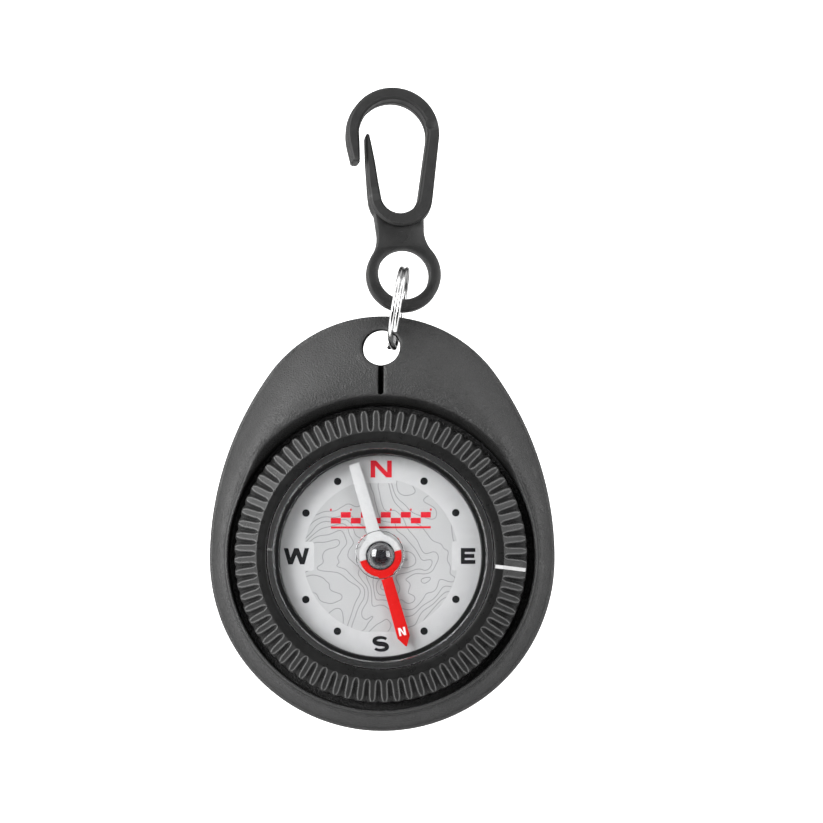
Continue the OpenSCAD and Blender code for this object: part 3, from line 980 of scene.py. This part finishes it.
place("lens_skin", lens_skin(), "base", "clear_lens", LENS, ["capsule_lens"], sharp=30)
place("cup_skin", cup_skin(), "base", "capsule_plastic", CUP, ["capsule_cup"])
place("card_skin", card_skin(), "base", "dial_print", CARD, ["dial_card"])
print_on_dial("dial_map", [map_outline(), circle(0, 0, 1.0, 48)], MAP, 1, 0.003)
for title, loop, x, y, ink in dial_letters():
    print_on_dial(title, [centred(loop, x, y)], ink, 2, 0.004)
dots = [circle(*turned(12.2, a, 0)[:2], 0.53, 32) for a in range(0, 360, 30) if a % 90]
print_on_dial("dial_dots", dots, BLACK_INK, 2, 0.004)
print_on_dial("dial_scale", scale_bar(), RED_INK, 2, 0.003)


# ---------------------------------------------------------------- needle

NEEDLE_ANGLE = -16
NEEDLE_Z, NEEDLE_T = 7.5, 0.35
NEEDLE_TURN = Matrix.Rotation(math.radians(-NEEDLE_ANGLE), 4, "Z")
NEEDLE_EDGE = 0.06


def white_half():
    """Blunt half of the strip, along +Y."""
    blade = rounded([(1.35, 2.68, 0), (0.9, 3.35, 1.2), (0.76, 13.5, 0.22), (-0.76, 13.5, 0.22),
                     (-0.9, 3.35, 1.2), (-1.35, 2.68, 0)], steps=6)
    side = math.degrees(math.atan2(2.68, 1.35))
    right = arc(0, 0, 3.0, 0, side, 16)[:-1]
    left = arc(0, 0, 3.0, 180 - side, 180, 16)[1:]
    return [*right, *blade, *left, *arc(0, 0, 2.06, 180, 0, 32)]


def red_half():
    """Pointed half of the strip, along -Y."""
    blade = rounded([(-1.2, -2.75, 0), (-0.8, -3.3, 1.0), (-0.9, -11.9, 0.25), (0, -13.4, 0.15),
                     (0.9, -11.9, 0.25), (0.8, -3.3, 1.0), (1.2, -2.75, 0)], steps=6)
    side = math.degrees(math.atan2(-2.75, 1.2))
    left = arc(0, 0, 3.0, -180, -180 - side, 16)[:-1]
    right = arc(0, 0, 3.0, side, 0, 16)[1:]
    return [*left, *blade, *right, *arc(0, 0, 2.06, 0, -180, 32)]


def dome_skin():
    r, h = 2.05, 0.9
    skirt = NEEDLE_Z + NEEDLE_T
    ball = (r ** 2 + h ** 2) / (2 * h)
    cap = []
    for k in range(25):
        x = r * 0.97 * k / 24
        cap.append((x, skirt + h - ball + math.sqrt(ball ** 2 - x ** 2)))
    rest = [(r - 0.02, skirt + 0.02), (r, skirt - 0.05), (r, 7.42), (1.12, 7.42), (1.12, 8.4), (0, 8.4)]
    return revolved(cap + rest, 128)


def tip_mark():
    """Small N printed near the red point."""
    top = NEEDLE_Z + NEEDLE_T
    return plate([centred(letter_n(0.98, 1.15, 0.27), 0, -11.1, 4)], top - 0.02, top + INK, 0.003, 0)


def strip(half):
    return plate([half], NEEDLE_Z, NEEDLE_Z + NEEDLE_T, NEEDLE_EDGE)


def place_on_needle(name, mesh, paint, replaced=()):
    place(name, mesh, "needle", "needle_paint", paint, replaced, NEEDLE_TURN)


place_on_needle("needle_white_half", strip(white_half()), NEEDLE_WHITE, ["needle"])
place_on_needle("needle_red_half", strip(red_half()), NEEDLE_RED)
place_on_needle("needle_mark", tip_mark(), WHITE_INK)
place("hub_dome", dome_skin(), "needle", "hub_gloss", DOME, ["hub_cap"])


# ---------------------------------------------------------------- split ring

RING_CENTRE = (2.4, 35.2, 6.0)
RING_LEAN = 9.5
WIRE_R = 0.35
WIRE_START, WIRE_END = 30, 690
COIL_R = 5.65


def coil_offset(a):
    """How far the wire lies from the ring's middle plane: it crosses over once, at 360 degrees."""
    return 0.36 * (2 * eased((a - 330) / 60) - 1)


def ring_skin():
    """Wire wound from WIRE_START to WIRE_END degrees, with its two ends rounded off a little."""
    sides, step, end_share = 18, 2.5, 0.86
    count = int((WIRE_END - WIRE_START) / step) + 1
    stations = [(WIRE_START + step * k, WIRE_R) for k in range(count)]
    stations.insert(0, (WIRE_START - 0.25, WIRE_R * end_share))
    stations.append((WIRE_END + 0.25, WIRE_R * end_share))
    rows = []
    for a, wire in stations:
        ca, sa = math.cos(math.radians(a)), math.sin(math.radians(a))
        row = []
        for k in range(sides):
            b = 2 * math.pi * k / sides
            r = COIL_R + wire * math.cos(b)
            row.append((r * ca, r * sa, coil_offset(a) + wire * math.sin(b)))
        rows.append(row)
    return sleeve(rows)


ring_turn = (Matrix.Translation(RING_CENTRE) @ Matrix.Rotation(math.radians(90 - RING_LEAN), 4, "Z")
             @ Matrix.Rotation(math.radians(90), 4, "X") @ Matrix.Rotation(math.radians(160), 4, "Z"))
place("ring_wire", ring_skin(), "ring", "ring_steel", RING_STEEL, ["split_ring"], ring_turn)


# ---------------------------------------------------------------- snap hook

HOOK_TURN = (Matrix.Translation((3.1, 40.1, 4.6235)) @ Matrix.Rotation(math.radians(4.1), 4, "Z")
             @ Matrix.Rotation(math.radians(8), 4, "Y") @ Matrix.Rotation(math.radians(-4), 4, "X"))
BEND_Y, BEND_OUT, BEND_IN = 20.4, 6.7, 4.8
THROAT, THROAT_OUT = (0.42, 11.3), 4.62
THROAT_INNER, THROAT_IN = (0.25, 11.4), 2.65
HOOK_T, GATE_T, PLATE_T = 4.4, 3.6, 2.4
CHAMFER = 0.34
DRAFT = 0.1


def tangent_angle(low, low_r, high_r):
    """Direction of the normal of the right-hand line that touches both circles."""
    dx, dy = -low[0], BEND_Y - low[1]
    return math.degrees(math.atan2(dy, dx) - math.acos((low_r - high_r) / math.hypot(dx, dy)))


def station_between(first, last, t):
    """Outer and inner point part of the way from one station to another."""
    return tuple((between(a[0], b[0], t), between(a[1], b[1], t)) for a, b in zip(first, last))


def hook_stations():
    """(outer point, inner point) along the hook, from its free arm round to the root of the gate."""
    out_a = tangent_angle(THROAT, THROAT_OUT, BEND_OUT)
    in_a = tangent_angle(THROAT_INNER, THROAT_IN, BEND_IN)
    arm = []
    for k in range(13):
        y = between(16.85, BEND_Y, k / 12)
        swell = eased((y - 15.6) / 4.8)
        arm.append(((between(-6.18, -BEND_OUT, swell), y), (between(-4.98, -BEND_IN, swell), y)))
    bend = list(zip(arc(0, BEND_Y, BEND_OUT, 180, out_a, 56)[1:], arc(0, BEND_Y, BEND_IN, 180, in_a, 56)[1:]))
    low = list(zip(arc(*THROAT, THROAT_OUT, out_a, -180, 56), arc(*THROAT_INNER, THROAT_IN, in_a, -180, 56)))
    leg = [station_between(bend[-1], low[0], k / 20) for k in range(1, 20)]
    return [*arm, *bend, *leg, *low]


def bar_section(outer, inner, t, chamfer, draft):
    """Section of the bar: chamfered corners, walls drafted to a parting line with a fine flash."""
    o, i = Vector(outer), Vector(inner)
    across = (o - i).normalized()
    h = t / 2
    points = []
    for centre, way, sign in ((o, across, 1), (i, -across, -1)):
        corner = [(-chamfer - draft, h), (-chamfer * 0.9 - draft, h - 0.03), (-0.06 - draft, h - chamfer),
                  (-draft, h - chamfer - 0.08), (-0.02, 0.06)]
        side = [*((out, -z) for out, z in corner), (0.03, 0.0), *corner[::-1]]
        for out, z in side if sign == 1 else side[::-1]:
            p = centre + way * out
            points.append((p.x, p.y, z))
    return points


def hook_skin():
    """The hook's bar, with a rounded end on its free arm."""
    stations = hook_stations()
    rows = [bar_section(outer, inner, HOOK_T, CHAMFER, DRAFT) for outer, inner in stations]
    outer, inner = (Vector(p) for p in stations[0])
    middle = (outer + inner) / 2
    along = (outer - Vector(stations[1][0])).normalized()
    for share, step in ((0.93, 0.1), (0.8, 0.22), (0.62, 0.3)):
        small = [middle + (p - middle) * share + along * step for p in (outer, inner)]
        rows.insert(0, bar_section(*small, HOOK_T * (1 - (1 - share) * 0.5), CHAMFER * 0.8, DRAFT))
    return sleeve(rows)


def eye_outline():
    """Eye and neck; the neck's hollow sides run into the hook's throat."""
    right = [*arc(7.95, 5.9, 4.6, 216.6, 172, 20), (3.48, 8.0), (3.6, 9.3)]
    left = [(-x, y) for x, y in right[::-1]]
    eye = arc(0, 0, 5.3, 180 - 36.6, 360 + 36.6, 96)[1:-1]
    root = [(2.2, 8.1), (0.4, 7.6), (-2.0, 8.1)]
    return [*right, *root, *left, *eye]


def gate_stations():
    """(outer point, inner point) up the gate, from the end of the hook's bar."""
    marks = [((-4.2, 11.35), (-2.4, 11.35)), ((-4.24, 12.7), (-2.52, 12.7)), ((-4.2, 16.3), (-2.82, 16.3)),
             ((-4.08, 19.0), (-3.16, 19.0)), ((-4.0, 20.15), (-3.34, 20.15))]
    stations = [station_between(a, b, k / 8) for a, b in zip(marks, marks[1:]) for k in range(8)]
    return [hook_stations()[-1], *stations[1:], marks[-1]]


def gate_skin():
    """The springy tongue: it thins from the hook's own section to a rounded tip."""
    stations = gate_stations()
    count = len(stations)
    rows = []
    for k, (outer, inner) in enumerate(stations):
        thickness = between(HOOK_T, GATE_T, eased(k / 12))
        chamfer, draft = between(CHAMFER, 0.24, k / count), between(DRAFT, 0.04, k / count)
        rows.append(bar_section(outer, inner, thickness, chamfer, draft))
    (outer_x, y), (inner_x, _) = stations[-1]
    middle = (outer_x + inner_x) / 2
    for share, rise in ((0.92, 0.14), (0.72, 0.26), (0.4, 0.33)):
        ends = [(middle + (x - middle) * share, y + rise) for x in (outer_x, inner_x)]
        rows.append(bar_section(*ends, GATE_T - 0.5 * (1 - share), 0.2, 0.03))
    return sleeve(rows)


def pin_ring(x, y, r):
    """Faint ring left by an ejector pin on the plate round the eye."""
    z = PLATE_T / 2
    return plate([circle(x, y, r, 40), circle(x, y, r - 0.1, 40)], z - 0.05, z + 0.02, 0.01, 1)


def pin_disc(x, y, r):
    """Faint disc left by an ejector pin on the hook's leg."""
    z = HOOK_T / 2
    return plate([circle(x, y, r, 32)], z - 0.5, z + 0.015, 0.05, 1)


def eye_plate():
    return plate([eye_outline(), circle(0, 0, 3.65, 96)], -PLATE_T / 2, PLATE_T / 2, 0.3, 1)


def place_on_hook(name, mesh, replaced=(), sharp=32):
    place(name, mesh, "hook", "hook_plastic", HOOK, replaced, HOOK_TURN, sharp)


place_on_hook("hook_bar", hook_skin(), ["clip_body"], sharp=24)
place_on_hook("hook_eye", eye_plate(), sharp=30)
place_on_hook("hook_neck_mark", pin_ring(0.15, 5.3, 0.85))
place_on_hook("hook_eye_mark", pin_ring(-0.4, -4.45, 0.5))
place_on_hook("hook_leg_mark", pin_disc(5.35, 21.3, 0.75))
gate = place("gate_tongue", gate_skin(), "gate", "hook_plastic", HOOK, ["clip_gate"], HOOK_TURN, sharp=24,
             ride=False)
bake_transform(gate)


# ---------------------------------------------------------------- CAD nodes that stay

for node, material in (("pivot_pin", PIN_STEEL), ("jewel_cup", JEWEL), ("fill_plug", PIN_STEEL)):
    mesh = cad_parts[node].data
    mesh.materials.clear()
    mesh.materials.append(material)
